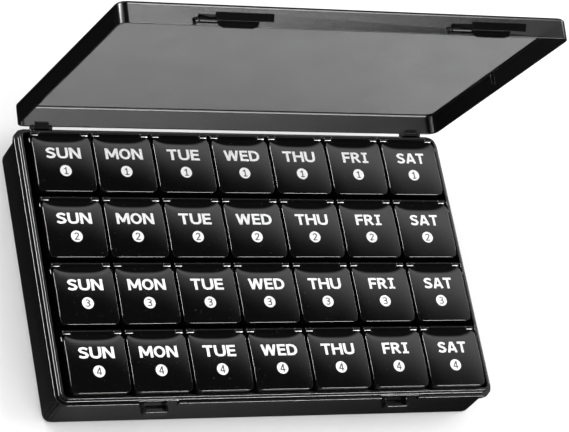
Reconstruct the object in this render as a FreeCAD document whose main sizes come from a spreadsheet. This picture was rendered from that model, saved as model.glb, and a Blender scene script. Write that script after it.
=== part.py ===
# Monthly pill organizer: a shallow case with a hinged clear lid, two snap latches
# and 28 small lidded boxes, one for each weekday of four weeks.
#
# Frame: millimetres, origin on the ground under the middle of the case.
# X runs along the case from Sunday to Saturday, Y from the latches to the hinge, Z up.
# The case lid and its latches stand open, as the case is left while boxes are filled.
import FreeCAD, Part
import math
import os
import Sketcher

DAYS = ["sun", "mon", "tue", "wed", "thu", "fri", "sat"]
WEEKS = [1, 2, 3, 4]

# straight facets at each round corner of the case and its lid, and sides of round parts
CASE_FACETS = 3
PIN_SIDES = 8
LID_PIN_SIDES = 5

# name in the sheet, value, what it sizes
SIZES = [
    ("case_width", 231.5, "case flange along X"),
    ("case_depth", 145.2, "case flange along Y"),
    ("case_height", 24.8, "top of the case flange above the ground"),
    ("case_corner", 5.5, "corner radius of the flange in plan"),
    ("case_floor", 2.0, "thickness of the case floor"),
    ("foot_edge", 1.0, "bevel along the case's bottom edge"),
    ("flange_thick", 3.0, "height of the flange"),
    ("wall_inset", 1.5, "case wall behind the flange edge"),
    ("rim_inset", 2.2, "outer face of the upstand behind the flange edge"),
    ("rim_thick", 1.3, "thickness of the upstand"),
    ("rim_rise", 2.9, "height of the upstand over the flange"),
    ("rib_wide", 1.2, "thickness of the locating ribs on the case floor"),
    ("rib_tall", 1.6, "height of the locating ribs"),
    ("gap_across", 2.1, "gap between two boxes along X"),
    ("gap_along", 2.4, "gap between two boxes along Y"),
    ("room_across", 3.05, "gap between the end boxes and the upstand along X"),
    ("room_along", 0.3, "gap between the end boxes and the upstand along Y"),
    ("box_seat", 0.1, "gap between box and case floor"),
    ("box_wall", 1.1, "wall and floor of a box"),
    ("box_corner", 2.5, "corner radius of a box and its lid in plan"),
    ("ear_wide", 3.8, "box ear along X"),
    ("ear_round", 1.5, "radius of the ear around the lid pin"),
    ("pin_above_rim", 2.0, "lid pin axis above the box rim"),
    ("lid_pin", 0.8, "radius of the lid pins"),
    ("pin_play", 0.05, "radial play of every pin in its hole"),
    ("side_play", 0.3, "gap beside a knuckle or in front of an ear"),
    ("lid_barrel", 1.4, "radius of the barrel that carries the lid pins"),
    ("lid_overhang", 0.2, "lid beyond the box at the sides and the front"),
    ("lid_gap", 0.3, "gap between box rim and lid skirt"),
    ("lid_rise", 3.86, "lid from its skirt edge to the top of its crown"),
    ("crown_drop", 0.7, "fall of the crown towards front and back"),
    ("lid_wall", 1.2, "skirt and top of a lid"),
    ("plug_gap", 0.45, "gap between the plug of a lid and the box wall"),
    ("plug_thick", 0.9, "wall of the plug"),
    ("plug_deep", 1.6, "reach of the plug below the skirt edge"),
    ("cover_gap", 0.2, "gap between case lid and upstand"),
    ("cover_seat", 0.1, "gap between case lid edge and flange"),
    ("cover_wall", 1.1, "wall of the case lid at its edge"),
    ("cover_rise", 10.66, "height of the case lid"),
    ("cover_panel", 1.3, "thickness of the case lid panel"),
    ("cover_edge", 1.0, "bevel around the case lid panel"),
    ("cover_open", 81.24, "angle of the case lid from closed, degrees"),
    ("detent_wide", 1.3, "rib on the case lid's side wall along Y"),
    ("detent_proud", 2.0, "rib on the case lid's side wall along X"),
    ("detent_place", 2.2, "rib behind the middle of the closed case"),
    ("hinge_behind", 0.7, "case hinge axis behind the flange edge"),
    ("hinge_above", 0.2, "case hinge axis above the flange"),
    ("hinge_inset", 14.75, "middle of each case hinge in from the flange end"),
    ("hinge_half", 3.5, "half length of the case lid's knuckle"),
    ("lug_wide", 1.8, "case lug along X"),
    ("hinge_round", 1.5, "radius of the case knuckles"),
    ("hinge_pin", 0.8, "radius of the case hinge pins"),
    ("latch_inset", 51.75, "middle of each latch in from the flange end"),
    ("latch_wide", 28.0, "latch along X"),
    ("latch_thick", 1.3, "thickness of the latch plate"),
    ("latch_barrel", 1.4, "radius of the latch barrel"),
    ("latch_pin", 0.8, "radius of the latch pins"),
    ("latch_reach", 20.2, "latch from its axis to its free end"),
    ("latch_open", 63.0, "angle of the latches from closed, degrees"),
    ("latch_ahead", 2.1, "latch axis in front of the case lid wall"),
    ("latch_above", 1.7, "latch axis above the case lid edge"),
    ("latch_flare", 1.1, "outward flare of the latch below its hook"),
    ("grip_reach", 3.8, "grip bead at the free end, across the plate"),
    ("hook_wide", 20.2, "hook along X"),
    ("hook_down", 11.6, "top of the hook below the latch axis"),
    ("hook_thick", 1.6, "thickness of the hook"),
    ("hook_reach", 3.5, "hook from the latch plate towards the case"),
    ("hook_round", 3.0, "corner radius of the hook"),
    ("ear_thick", 1.6, "case lid ear beside a latch along X"),
    ("notch_wide", 20.3, "flange notch above each strike"),
    ("notch_deep", 1.5, "flange notch along Y"),
    ("strike_wide", 12.5, "strike loop along X"),
    ("strike_wall", 1.1, "sides of the strike loop"),
    ("strike_front", 0.8, "front strap of the strike loop"),
    ("strike_below", 4.5, "top of the strike loop below the flange top"),
    ("strike_tall", 5.1, "height of the strike loop"),
    ("strike_ahead", 2.5, "front of the strike loop before the flange edge"),
    ("skin_left", 1.1, "case wall left behind the strike loop"),
    ("overlap", 0.6, "how far joined features run into each other"),
]

os.makedirs("parts", exist_ok=True)
doc = FreeCAD.newDocument("pill_organizer")
sheet = doc.addObject("Spreadsheet::Sheet", "sizes")
for row, (alias, value, note) in enumerate(SIZES, 1):
    sheet.set("A%d" % row, note)
    sheet.set("B%d" % row, str(value))
    sheet.setAlias("B%d" % row, alias)
doc.recompute()

# Places worked out from the sizes. Each text is an expression on the sheet.
NAMES = {}


def name(key, text):
    """Keep an expression under a word, so that later ones can be built from it."""
    NAMES[key] = "(" + spell(text) + ")"


def spell(text):
    """Write sheet names and kept words out in full."""
    words = []
    word = ""
    for sign in text + " ":
        if sign.isalnum() or sign == "_":
            word += sign
            continue
        if word in NAMES:
            word = NAMES[word]
        elif word in ALIASES:
            word = "sizes." + word
        words.append(word + sign)
        word = ""
    return "".join(words).strip()


ALIASES = {alias for alias, value, note in SIZES}


def number(text):
    """Value of an expression now, to draw a sketch near its solution."""
    value = sheet.evalExpression(spell(text))
    return float(getattr(value, "Value", value))


name("half_width", "case_width / 2")
name("half_depth", "case_depth / 2")
name("flange_low", "case_height - flange_thick")
name("rim_top", "case_height + rim_rise")
name("rim_x", "half_width - rim_inset")
name("rim_y", "half_depth - rim_inset")
name("inner_x", "rim_x - rim_thick")
name("inner_y", "rim_y - rim_thick")
name("foot_x", "half_width - wall_inset")
name("foot_y", "half_depth - wall_inset")
name("box_low", "case_floor + box_seat")
name("box_rim", "rim_top")
name("box_height", "box_rim - box_low")
name("pitch_across", "(2 * (inner_x - room_across) + gap_across) / %d" % len(DAYS))
name("pitch_along", "(2 * (inner_y - room_along) + gap_along) / %d" % len(WEEKS))
name("box_x", "(pitch_across - gap_across) / 2")
name("box_y", "(pitch_along - gap_along) / 2")
name("pin_z", "box_rim + pin_above_rim")
name("pin_y", "box_y - ear_round")
name("ear_x", "box_x - ear_wide")
name("skirt", "box_rim + lid_gap")
name("crown", "skirt + lid_rise")
name("lid_x", "box_x + lid_overhang")
name("lid_front", "box_y + lid_overhang")
name("lid_back", "pin_y - ear_round - side_play")
name("plug_x", "box_x - box_wall - plug_gap")
name("plug_front", "box_y - box_wall - plug_gap")
name("plug_back", "lid_back - lid_wall")
name("hinge_y", "half_depth + hinge_behind")
name("hinge_z", "case_height + hinge_above")
name("hinge_place", "half_width - hinge_inset")
name("latch_place", "half_width - latch_inset")
name("cover_corner", "case_corner - rim_inset + cover_gap + cover_wall")
name("cover_x", "rim_x + cover_gap + cover_wall")
name("cover_y", "rim_y + cover_gap + cover_wall")
name("cover_low", "cover_seat - hinge_above")
name("cover_high", "cover_low + cover_rise")
name("latch_y", "-(cover_y + latch_ahead) - hinge_y")
name("latch_z", "cover_low + latch_above")
name("strike_top", "case_height - strike_below")
name("strike_low", "strike_top - strike_tall")


def plane(body, role):
    return [part for part in body.Origin.OriginFeatures if part.Role == role][0]


def sketch(body, label, role, offset="0"):
    """Empty sketch on an origin plane of its body, moved along the plane's normal."""
    drawn = body.newObject("Sketcher::SketchObject", label)
    drawn.AttachmentSupport = [(plane(body, role), "")]
    drawn.MapMode = "FlatFace"
    drawn.setExpression("AttachmentOffset.Base.z", spell(offset))
    return drawn


def hold(drawn, kind, edge, point, text):
    """Bind one coordinate of a point, measured from the sketch's origin."""
    spot = drawn.addConstraint(Sketcher.Constraint(kind, -1, 1, edge, point, number(text)))
    drawn.setExpression("Constraints[%d]" % spot, spell(text))


def spread(corner, steps, facets):
    """Points of a corner rounded by straight facets between two square edges."""
    points = []
    for at in range(facets + 1):
        turn = math.pi / 2 * at / facets
        shares = [1 - math.sin(turn), 1 - math.cos(turn)]
        point = []
        for axis in (0, 1):
            share = sum(round(step[axis]) * part for step, part in zip(steps, shares))
            point.append("%s + (%s) * %.6f" % (corner[axis], corner[2], share))
        points.append(tuple(point))
    return points


def path(drawn, points):
    """Straight edges through points, given as expressions, and back to the first."""
    for start, stop in zip(points, points[1:] + points[:1]):
        ends = [FreeCAD.Vector(number(x), number(y), 0) for x, y in (start, stop)]
        edge = drawn.addGeometry(Part.LineSegment(*ends), False)
        for point, (x, y) in ((1, start), (2, stop)):
            hold(drawn, "DistanceX", edge, point, x)
            hold(drawn, "DistanceY", edge, point, y)


def apart(first, second):
    """Whether two points differ, as where two round corners don't meet."""
    return any(abs(number(one) - number(other)) > 1e-6 for one, other in zip(first, second))


def outline(drawn, corners, facets=2):
    """Closed outline. A corner is (x, y) or (x, y, radius), the radius between square edges."""
    spots = [FreeCAD.Vector(number(corner[0]), number(corner[1]), 0) for corner in corners]
    points = []
    for at, corner in enumerate(corners):
        if len(corner) == 2:
            points.append(corner)
            continue
        steps = [(spots[other] - spots[at]).normalize() for other in (at - 1, (at + 1) % len(corners))]
        points += spread(corner, steps, facets)
    path(drawn, [point for at, point in enumerate(points) if apart(point, points[at - 1])])


def slab(drawn, x, y, radius, middle="0", facets=2):
    """Rectangle with half sizes x and y and round corners."""
    outline(drawn, [("-(%s)" % x, "%s - (%s)" % (middle, y), radius),
                    (x, "%s - (%s)" % (middle, y), radius),
                    (x, "%s + (%s)" % (middle, y), radius),
                    ("-(%s)" % x, "%s + (%s)" % (middle, y), radius)], facets)


def ring(drawn, x, y, radius):
    """Full circle."""
    centre = FreeCAD.Vector(number(x), number(y), 0)
    edge = drawn.addGeometry(Part.Circle(centre, FreeCAD.Vector(0, 0, 1), number(radius)), False)
    hold(drawn, "DistanceX", edge, 3, x)
    hold(drawn, "DistanceY", edge, 3, y)
    drawn.addConstraint(Sketcher.Constraint("Radius", edge, number(radius)))
    drawn.setExpression("Constraints[%d]" % (drawn.ConstraintCount - 1), spell(radius))


def facet_ring(drawn, x, y, radius, sides=PIN_SIDES, hole=False):
    """Many-sided circle. The corners of a pin and the flats of a hole lie at its radius."""
    step = 2 * math.pi / sides
    reach = 1 / math.cos(step / 2) if hole else 1
    path(drawn, [("%s + (%s) * %.6f" % (x, radius, reach * math.cos(step * (at + 0.5))),
                  "%s + (%s) * %.6f" % (y, radius, reach * math.sin(step * (at + 0.5))))
                 for at in range(sides)])


def pad(body, label, drawn, length, middle=False):
    """Raise a sketch along its normal, or half to each side."""
    raised = body.newObject("PartDesign::Pad", label)
    raised.Profile = drawn
    raised.setExpression("Length", spell(length))
    raised.Midplane = middle
    drawn.Visibility = False
    return raised


def cut(body, label, drawn, length, up=False, middle=False):
    """Cut a sketch into the solid, against its normal or along it."""
    gone = body.newObject("PartDesign::Pocket", label)
    gone.Profile = drawn
    gone.setExpression("Length", spell(length))
    gone.Reversed = up
    gone.Midplane = middle
    drawn.Visibility = False
    return gone


def mirror(body, label, features):
    """Repeat features on the other side of the body's YZ plane."""
    doc.recompute()
    twin = body.newObject("PartDesign::Mirrored", label)
    twin.Originals = features
    twin.MirrorPlane = (plane(body, "YZ_Plane"), [""])
    body.Tip = twin
    return twin


def row(body, label, feature, role, spacing, count):
    """Repeat a feature along one axis of the body."""
    doc.recompute()
    line = body.newObject("PartDesign::LinearPattern", label)
    line.Originals = [feature]
    line.Direction = (plane(body, role), [""])
    line.setExpression("Length", spell("%s * %d" % (spacing, count - 1)))
    line.Occurrences = count
    body.Tip = line
    return line


def soften(body, label, feature, height, size):
    """Break the outer edges that lie at one height of a feature."""
    doc.recompute()
    level = number(height)
    edges = []
    for at, edge in enumerate(feature.Shape.Edges, 1):
        box = edge.BoundBox
        if abs(box.ZMin - level) < 1e-4 and abs(box.ZMax - level) < 1e-4:
            edges.append("Edge%d" % at)
    broken = body.newObject("PartDesign::Chamfer", label)
    broken.Base = (feature, edges)
    broken.setExpression("Size", spell(size))
    return broken


def new_body(label):
    body = doc.addObject("PartDesign::Body", label)
    body.Label = label
    return body


def build_case_base():
    """Tray with flange, upstand, floor ribs, two strikes and the fixed half of the hinge."""
    body = new_body("case_base")
    drawn = sketch(body, "wall_plan", "XY_Plane")
    slab(drawn, "foot_x", "foot_y", "case_corner - wall_inset", facets=CASE_FACETS)
    wall = pad(body, "wall", drawn, "flange_low")
    soften(body, "foot_bevel", wall, "0", "foot_edge")
    drawn = sketch(body, "flange_plan", "XY_Plane", "flange_low")
    slab(drawn, "half_width", "half_depth", "case_corner", facets=CASE_FACETS)
    pad(body, "flange", drawn, "flange_thick")
    drawn = sketch(body, "upstand_plan", "XY_Plane", "case_height")
    slab(drawn, "rim_x", "rim_y", "case_corner - rim_inset", facets=CASE_FACETS)
    pad(body, "upstand", drawn, "rim_rise")
    drawn = sketch(body, "tray_plan", "XY_Plane", "rim_top")
    slab(drawn, "inner_x", "inner_y", "case_corner - rim_inset - rim_thick", facets=CASE_FACETS)
    cut(body, "tray", drawn, "rim_top - case_floor")
    floor_ribs(body)
    features = strike(body) + hinge_lugs(body)
    mirror(body, "other_side", features)
    return body


def floor_ribs(body):
    """Low ribs between the boxes."""
    across = "-pitch_across * %s" % (len(DAYS) / 2 - 1)
    drawn = sketch(body, "rib_plan", "XY_Plane", "case_floor - overlap")
    outline(drawn, [("%s - rib_wide / 2" % across, "-(inner_y + overlap)"),
                    ("%s + rib_wide / 2" % across, "-(inner_y + overlap)"),
                    ("%s + rib_wide / 2" % across, "inner_y + overlap"),
                    ("%s - rib_wide / 2" % across, "inner_y + overlap")])
    rib = pad(body, "rib", drawn, "rib_tall + overlap")
    row(body, "day_ribs", rib, "X_Axis", "pitch_across", len(DAYS) - 1)
    along = "-pitch_along * %s" % (len(WEEKS) / 2 - 1)
    drawn = sketch(body, "long_rib_plan", "XY_Plane", "case_floor - overlap")
    outline(drawn, [("-(inner_x + overlap)", "%s - rib_wide / 2" % along),
                    ("inner_x + overlap", "%s - rib_wide / 2" % along),
                    ("inner_x + overlap", "%s + rib_wide / 2" % along),
                    ("-(inner_x + overlap)", "%s + rib_wide / 2" % along)])
    rib = pad(body, "long_rib", drawn, "rib_tall + overlap")
    row(body, "week_ribs", rib, "Y_Axis", "pitch_along", len(WEEKS) - 1)


def strike(body):
    """Flange notch and the loop that the hook of a latch snaps under."""
    name("notch_face", "-(half_depth - notch_deep)")
    drawn = sketch(body, "notch_plan", "XY_Plane", "case_height")
    outline(drawn, [("latch_place - notch_wide / 2", "-(half_depth + overlap)"),
                    ("latch_place + notch_wide / 2", "-(half_depth + overlap)"),
                    ("latch_place + notch_wide / 2", "notch_face"),
                    ("latch_place - notch_wide / 2", "notch_face")])
    notch = cut(body, "notch", drawn, "case_height - strike_low + 2 * hook_thick")
    drawn = sketch(body, "loop_plan", "XY_Plane", "strike_low")
    name("loop_front", "-(half_depth + strike_ahead)")
    outline(drawn, [("latch_place - strike_wide / 2", "notch_face + overlap"),
                    ("latch_place - strike_wide / 2", "loop_front", "strike_wall"),
                    ("latch_place + strike_wide / 2", "loop_front", "strike_wall"),
                    ("latch_place + strike_wide / 2", "notch_face + overlap")])
    loop = pad(body, "loop", drawn, "strike_tall")
    drawn = sketch(body, "loop_hole_plan", "XY_Plane", "strike_top")
    name("hole_half", "strike_wide / 2 - strike_wall")
    name("hole_back", "-(inner_y + skin_left)")
    outline(drawn, [("latch_place - hole_half", "loop_front + strike_front"),
                    ("latch_place + hole_half", "loop_front + strike_front"),
                    ("latch_place + hole_half", "hole_back"),
                    ("latch_place - hole_half", "hole_back")])
    hole = cut(body, "loop_hole", drawn, "strike_tall")
    return [notch, loop, hole]


def hinge_lugs(body):
    """Rear flange cut-out with two lugs on each side of the lid's knuckle."""
    name("lug_end", "hinge_half + side_play + lug_wide")
    drawn = sketch(body, "hinge_cut_plan", "XY_Plane", "case_height")
    name("cut_face", "hinge_y - hinge_round - cover_seat")
    outline(drawn, [("hinge_place - lug_end", "cut_face"),
                    ("hinge_place + lug_end", "cut_face"),
                    ("hinge_place + lug_end", "half_depth + overlap"),
                    ("hinge_place - lug_end", "half_depth + overlap")])
    room = cut(body, "hinge_cut", drawn, "flange_thick")
    features = [room]
    for side, start in (("near", "hinge_place - lug_end"),
                        ("far", "hinge_place + lug_end - lug_wide")):
        drawn = sketch(body, side + "_lug_profile", "YZ_Plane", start)
        knuckle(drawn)
        features.append(pad(body, side + "_lug", drawn, "lug_wide"))
    return features


def knuckle(drawn):
    """Profile of a case lug: a round eye on a foot that grows out of the flange."""
    eye = [("hinge_y + hinge_round * cos(%d)" % turn, "hinge_z + hinge_round * sin(%d)" % turn)
           for turn in range(-60, 181, 40)]
    path(drawn, eye + [("hinge_y - hinge_round", "case_height"),
                       ("hinge_y - hinge_round - overlap", "case_height"),
                       ("hinge_y - hinge_round - overlap", "flange_low")])
    facet_ring(drawn, "hinge_y", "hinge_z", "hinge_pin + pin_play", hole=True)


def build_case_lid():
    """Shallow clear lid, drawn closed with its origin on the hinge axis."""
    body = new_body("case_lid")
    drawn = sketch(body, "cover_plan", "XY_Plane", "cover_low")
    slab(drawn, "cover_x", "cover_y", "cover_corner", "-hinge_y", CASE_FACETS)
    shell = pad(body, "cover", drawn, "cover_rise")
    soften(body, "cover_bevel", shell, "cover_high", "cover_edge")
    drawn = sketch(body, "cover_room_plan", "XY_Plane", "cover_low")
    slab(drawn, "cover_x - cover_wall", "cover_y - cover_wall", "cover_corner - cover_wall",
         "-hinge_y", CASE_FACETS)
    cut(body, "cover_room", drawn, "cover_rise - cover_panel", up=True)
    features = detent(body) + cover_hinge(body) + latch_ears(body)
    mirror(body, "other_side", features)
    doc.recompute()
    body.setExpression("Placement", spell(
        "placement(vector(0; hinge_y; hinge_z); rotation(vector(1; 0; 0); -cover_open))"))
    return body


def detent(body):
    """Rib inside the side wall, above the upstand when the lid is shut."""
    name("detent_low", "rim_rise - cover_seat + cover_low + side_play")
    drawn = sketch(body, "detent_plan", "XY_Plane", "detent_low")
    name("detent_y", "detent_place - hinge_y")
    outline(drawn, [("cover_x - cover_wall - detent_proud", "detent_y - detent_wide / 2"),
                    ("cover_x - cover_wall / 2", "detent_y - detent_wide / 2"),
                    ("cover_x - cover_wall / 2", "detent_y + detent_wide / 2"),
                    ("cover_x - cover_wall - detent_proud", "detent_y + detent_wide / 2")])
    return [pad(body, "detent", drawn, "cover_high - cover_panel / 2 - detent_low")]


def cover_hinge(body):
    """Moving knuckle with its two pins."""
    features = []
    drawn = sketch(body, "gusset_profile", "YZ_Plane", "hinge_place - hinge_half")
    name("wall_back", "-(hinge_y - cover_y)")
    outline(drawn, [("wall_back - overlap", "cover_low"), ("0", "cover_low"),
                    ("0", "hinge_round * 0.9"), ("wall_back - overlap", "hinge_round * 2")])
    features.append(pad(body, "gusset", drawn, "2 * hinge_half"))
    drawn = sketch(body, "barrel_profile", "YZ_Plane", "hinge_place - hinge_half")
    ring(drawn, "0", "0", "hinge_round")
    features.append(pad(body, "barrel", drawn, "2 * hinge_half"))
    drawn = sketch(body, "pin_profile", "YZ_Plane", "hinge_place - lug_end")
    facet_ring(drawn, "0", "0", "hinge_pin")
    features.append(pad(body, "pin", drawn, "2 * lug_end"))
    return features


def latch_ears(body):
    """Two ears in front of the lid wall that hold the pins of a latch."""
    features = []
    name("ear_gap", "latch_wide / 2 + side_play")
    for side, start in (("near", "latch_place - ear_gap - ear_thick"),
                        ("far", "latch_place + ear_gap")):
        drawn = sketch(body, side + "_ear_profile", "YZ_Plane", start)
        name("ear_front", "latch_y - latch_barrel")
        outline(drawn, [("-(cover_y + hinge_y) + overlap", "latch_z - latch_barrel"),
                        ("ear_front", "latch_z - latch_barrel", "latch_barrel"),
                        ("ear_front", "latch_z + latch_barrel", "latch_barrel"),
                        ("-(cover_y + hinge_y) + overlap", "latch_z + latch_barrel")])
        facet_ring(drawn, "latch_y", "latch_z", "latch_pin + pin_play", hole=True)
        features.append(pad(body, side + "_ear", drawn, "ear_thick"))
    return features


def build_latch(label, side):
    """Snap latch, drawn hanging shut with its origin on its own axis."""
    body = new_body(label)
    half = "latch_wide / 2"
    drawn = sketch(body, "barrel_profile", "YZ_Plane")
    ring(drawn, "0", "0", "latch_barrel")
    pad(body, "barrel", drawn, "latch_wide", middle=True)
    drawn = sketch(body, "plate_profile", "YZ_Plane")
    name("plate_in", "-(half_depth + strike_ahead + cover_gap - cover_y - latch_ahead)")
    name("plate_out", "plate_in - latch_thick")
    name("bend", "-(hook_down + hook_thick)")
    outline(drawn, [("0", "-latch_barrel"), ("plate_in", "-latch_barrel * 1.4"), ("plate_in", "bend"),
                    ("plate_in - latch_flare", "-latch_reach"),
                    ("plate_out - latch_flare", "-latch_reach"), ("plate_out", "bend"),
                    ("plate_out", "0"), ("plate_in", "latch_barrel * 0.9"), ("0", "latch_barrel")])
    pad(body, "plate", drawn, "latch_wide", middle=True)
    drawn = sketch(body, "grip_profile", "YZ_Plane")
    name("grip_in", "plate_in - latch_flare + overlap")
    outline(drawn, [("grip_in", "-latch_reach"), ("grip_in - grip_reach", "-latch_reach"),
                    ("grip_in - grip_reach", "-latch_reach + latch_thick"),
                    ("grip_in", "-latch_reach + latch_thick")])
    pad(body, "grip", drawn, "latch_wide", middle=True)
    drawn = sketch(body, "hook_plan", "XY_Plane", "-hook_down - hook_thick")
    name("hook_tip", "plate_in + hook_reach")
    outline(drawn, [("-hook_wide / 2", "plate_in - overlap"),
                    ("hook_wide / 2", "plate_in - overlap"),
                    ("hook_wide / 2", "hook_tip", "hook_round"),
                    ("-hook_wide / 2", "hook_tip", "hook_round")])
    pad(body, "hook", drawn, "hook_thick")
    drawn = sketch(body, "pin_profile", "YZ_Plane")
    facet_ring(drawn, "0", "0", "latch_pin")
    pad(body, "pin", drawn, "latch_wide + 2 * side_play + 2 * ear_thick", middle=True)
    doc.recompute()
    name("swung_y", "hinge_y + latch_y * cos(cover_open) + latch_z * sin(cover_open)")
    name("swung_z", "hinge_z - latch_y * sin(cover_open) + latch_z * cos(cover_open)")
    body.setExpression("Placement", spell(
        "placement(vector(latch_place * %d; swung_y; swung_z); "
        "rotation(vector(1; 0; 0); -cover_open - latch_open))" % side))
    return body


def build_box(label):
    """Day box with a scooped floor and two ears for the pins of its lid."""
    body = new_body(label)
    drawn = sketch(body, "box_plan", "XY_Plane", "box_low")
    slab(drawn, "box_x", "box_y", "box_corner")
    pad(body, "box_body", drawn, "box_height")
    drawn = sketch(body, "room_plan", "XY_Plane", "box_low + box_wall")
    slab(drawn, "box_x - box_wall", "box_y - box_wall", "box_corner - box_wall / 2", facets=1)
    cut(body, "room", drawn, "box_height", up=True)
    drawn = sketch(body, "ear_profile", "YZ_Plane", "ear_x")
    outline(drawn, [("pin_y - ear_round", "box_rim - overlap"), ("pin_y + ear_round", "box_rim - overlap"),
                    ("pin_y + ear_round", "pin_z + ear_round", "ear_round"),
                    ("pin_y - ear_round", "pin_z + ear_round", "ear_round")])
    facet_ring(drawn, "pin_y", "pin_z", "lid_pin + pin_play", LID_PIN_SIDES, hole=True)
    ear = pad(body, "ear", drawn, "ear_wide")
    mirror(body, "ears", [ear])
    return body


def build_lid(label):
    """Day lid: crowned top, skirt, plug that sits in the box, and a barrel with two pins."""
    body = new_body(label)
    name("tab_x", "ear_x - side_play")
    drawn = sketch(body, "lid_plan", "XY_Plane", "skirt")
    outline(drawn, [("-lid_x", "-lid_front", "box_corner"), ("lid_x", "-lid_front", "box_corner"),
                    ("lid_x", "lid_back"), ("tab_x", "lid_back"), ("tab_x", "pin_y"),
                    ("-tab_x", "pin_y"), ("-tab_x", "lid_back"), ("-lid_x", "lid_back")])
    pad(body, "lid_body", drawn, "lid_rise")
    drawn = sketch(body, "crown_profile", "YZ_Plane")
    crown_arc(drawn)
    cut(body, "crown_cut", drawn, "2 * lid_x + 2 * overlap", middle=True)
    drawn = sketch(body, "hollow_plan", "XY_Plane", "skirt")
    outline(drawn, [("-lid_x + lid_wall", "-lid_front + lid_wall"),
                    ("lid_x - lid_wall", "-lid_front + lid_wall"),
                    ("lid_x - lid_wall", "plug_back"),
                    ("-lid_x + lid_wall", "plug_back")])
    cut(body, "hollow", drawn, "lid_rise - crown_drop - lid_wall", up=True)
    drawn = sketch(body, "plug_plan", "XY_Plane", "skirt - plug_deep")
    outline(drawn, [("-plug_x", "-plug_front", "box_corner / 2"),
                    ("plug_x", "-plug_front", "box_corner / 2"),
                    ("plug_x", "plug_back"), ("-plug_x", "plug_back")], 1)
    name("plug_in", "plug_x - plug_thick")
    outline(drawn, [("-plug_in", "-plug_front + plug_thick"), ("plug_in", "-plug_front + plug_thick"),
                    ("plug_in", "plug_back - plug_thick"), ("-plug_in", "plug_back - plug_thick")])
    pad(body, "plug", drawn, "plug_deep + lid_rise - crown_drop - lid_wall / 2")
    drawn = sketch(body, "lid_barrel_profile", "YZ_Plane")
    ring(drawn, "pin_y", "pin_z", "lid_barrel")
    pad(body, "lid_barrel_pad", drawn, "2 * tab_x", middle=True)
    drawn = sketch(body, "lid_pin_profile", "YZ_Plane")
    facet_ring(drawn, "pin_y", "pin_z", "lid_pin", LID_PIN_SIDES)
    pad(body, "lid_pin_pad", drawn, "2 * box_x - side_play", middle=True)
    return body


def crown_arc(drawn):
    """Everything above a shallow arch that spans the lid from front to back."""
    name("arch_end", "lid_front + overlap")
    arch = [("arch_end * %s" % share, "crown - crown_drop * %d" % fall)
            for share, fall in ((-1, 1), (-0.4, 0), (0.4, 0), (1, 1))]
    path(drawn, arch + [("arch_end", "crown + overlap"), ("-arch_end", "crown + overlap")])


def repeat(kind, build):
    """Build the first of a kind and copy it to every day and week."""
    master = None
    bodies = []
    for week_at, week in enumerate(WEEKS):
        for day_at, day in enumerate(DAYS):
            label = "%s_%s_%d" % (kind, day, week)
            if master is None:
                body = build(label)
                master = body
                doc.recompute()
            else:
                body = new_body(label)
                body.BaseFeature = master
            across = day_at - (len(DAYS) - 1) / 2
            along = (len(WEEKS) - 1) / 2 - week_at
            body.setExpression("Placement.Base.x", spell("pitch_across * %s" % across))
            body.setExpression("Placement.Base.y", spell("pitch_along * %s" % along))
            bodies.append(body)
    return bodies


def main():
    bodies = [build_case_base(), build_case_lid(),
              build_latch("left_latch", -1), build_latch("right_latch", 1)]
    bodies += repeat("box", build_box)
    bodies += repeat("lid", build_lid)
    doc.recompute()
    for part in doc.Objects:
        if "Invalid" in part.State or "Error" in part.State:
            raise RuntimeError("%s did not rebuild: %s" % (part.Label, part.State))
    for body in bodies:
        shape = body.Shape
        if shape.isNull() or not shape.isValid() or len(shape.Solids) != 1:
            raise RuntimeError("%s is not one sound solid" % body.Label)
        shape.exportStep("parts/%s.step" % body.Label)
    print("nodes", len(bodies))


main()
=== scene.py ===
"""Looks of the monthly pill organizer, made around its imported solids.

Lengths are metres in the row frame: X runs from Sunday to Saturday, Y from the
latches to the hinge, and Z is up.
"""

import math

import bmesh
import bpy
from bpy.props import FloatProperty, FloatVectorProperty, IntProperty, PointerProperty
from mathutils import Matrix, Vector


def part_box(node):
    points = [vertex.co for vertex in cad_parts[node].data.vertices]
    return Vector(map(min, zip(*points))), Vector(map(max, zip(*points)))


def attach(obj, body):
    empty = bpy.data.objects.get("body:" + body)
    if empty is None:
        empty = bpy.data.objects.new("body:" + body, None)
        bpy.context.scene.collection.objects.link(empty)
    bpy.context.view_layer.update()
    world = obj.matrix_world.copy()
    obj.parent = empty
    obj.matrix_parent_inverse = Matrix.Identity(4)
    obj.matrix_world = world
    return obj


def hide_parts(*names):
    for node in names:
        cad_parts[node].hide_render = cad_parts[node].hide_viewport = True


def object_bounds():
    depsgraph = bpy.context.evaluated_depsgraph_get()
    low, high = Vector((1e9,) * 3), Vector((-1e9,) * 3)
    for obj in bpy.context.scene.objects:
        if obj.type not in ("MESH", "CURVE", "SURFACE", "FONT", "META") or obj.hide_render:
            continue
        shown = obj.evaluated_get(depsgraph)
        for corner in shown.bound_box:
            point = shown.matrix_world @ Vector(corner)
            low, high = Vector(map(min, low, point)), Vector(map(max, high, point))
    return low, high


bl_info = {
    "name": "Monthly pill organizer",
    "version": (1, 0, 0),
    "blender": (4, 5, 0),
    "location": "View3D > Sidebar > Pill organizer",
    "description": "Case, day boxes, day lids, printed words and studio of a monthly pill organizer",
    "category": "Object",
}

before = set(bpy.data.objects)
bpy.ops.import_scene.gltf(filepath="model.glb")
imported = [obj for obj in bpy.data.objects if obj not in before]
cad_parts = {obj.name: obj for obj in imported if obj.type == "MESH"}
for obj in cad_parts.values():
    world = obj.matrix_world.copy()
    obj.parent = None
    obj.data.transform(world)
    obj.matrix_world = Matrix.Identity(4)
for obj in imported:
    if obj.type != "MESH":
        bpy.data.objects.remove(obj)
CAD_BOX = [list(corner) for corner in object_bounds()]

MM = 0.001
DAYS = ("sun", "mon", "tue", "wed", "thu", "fri", "sat")
WEEKS = (1, 2, 3, 4)
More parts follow.
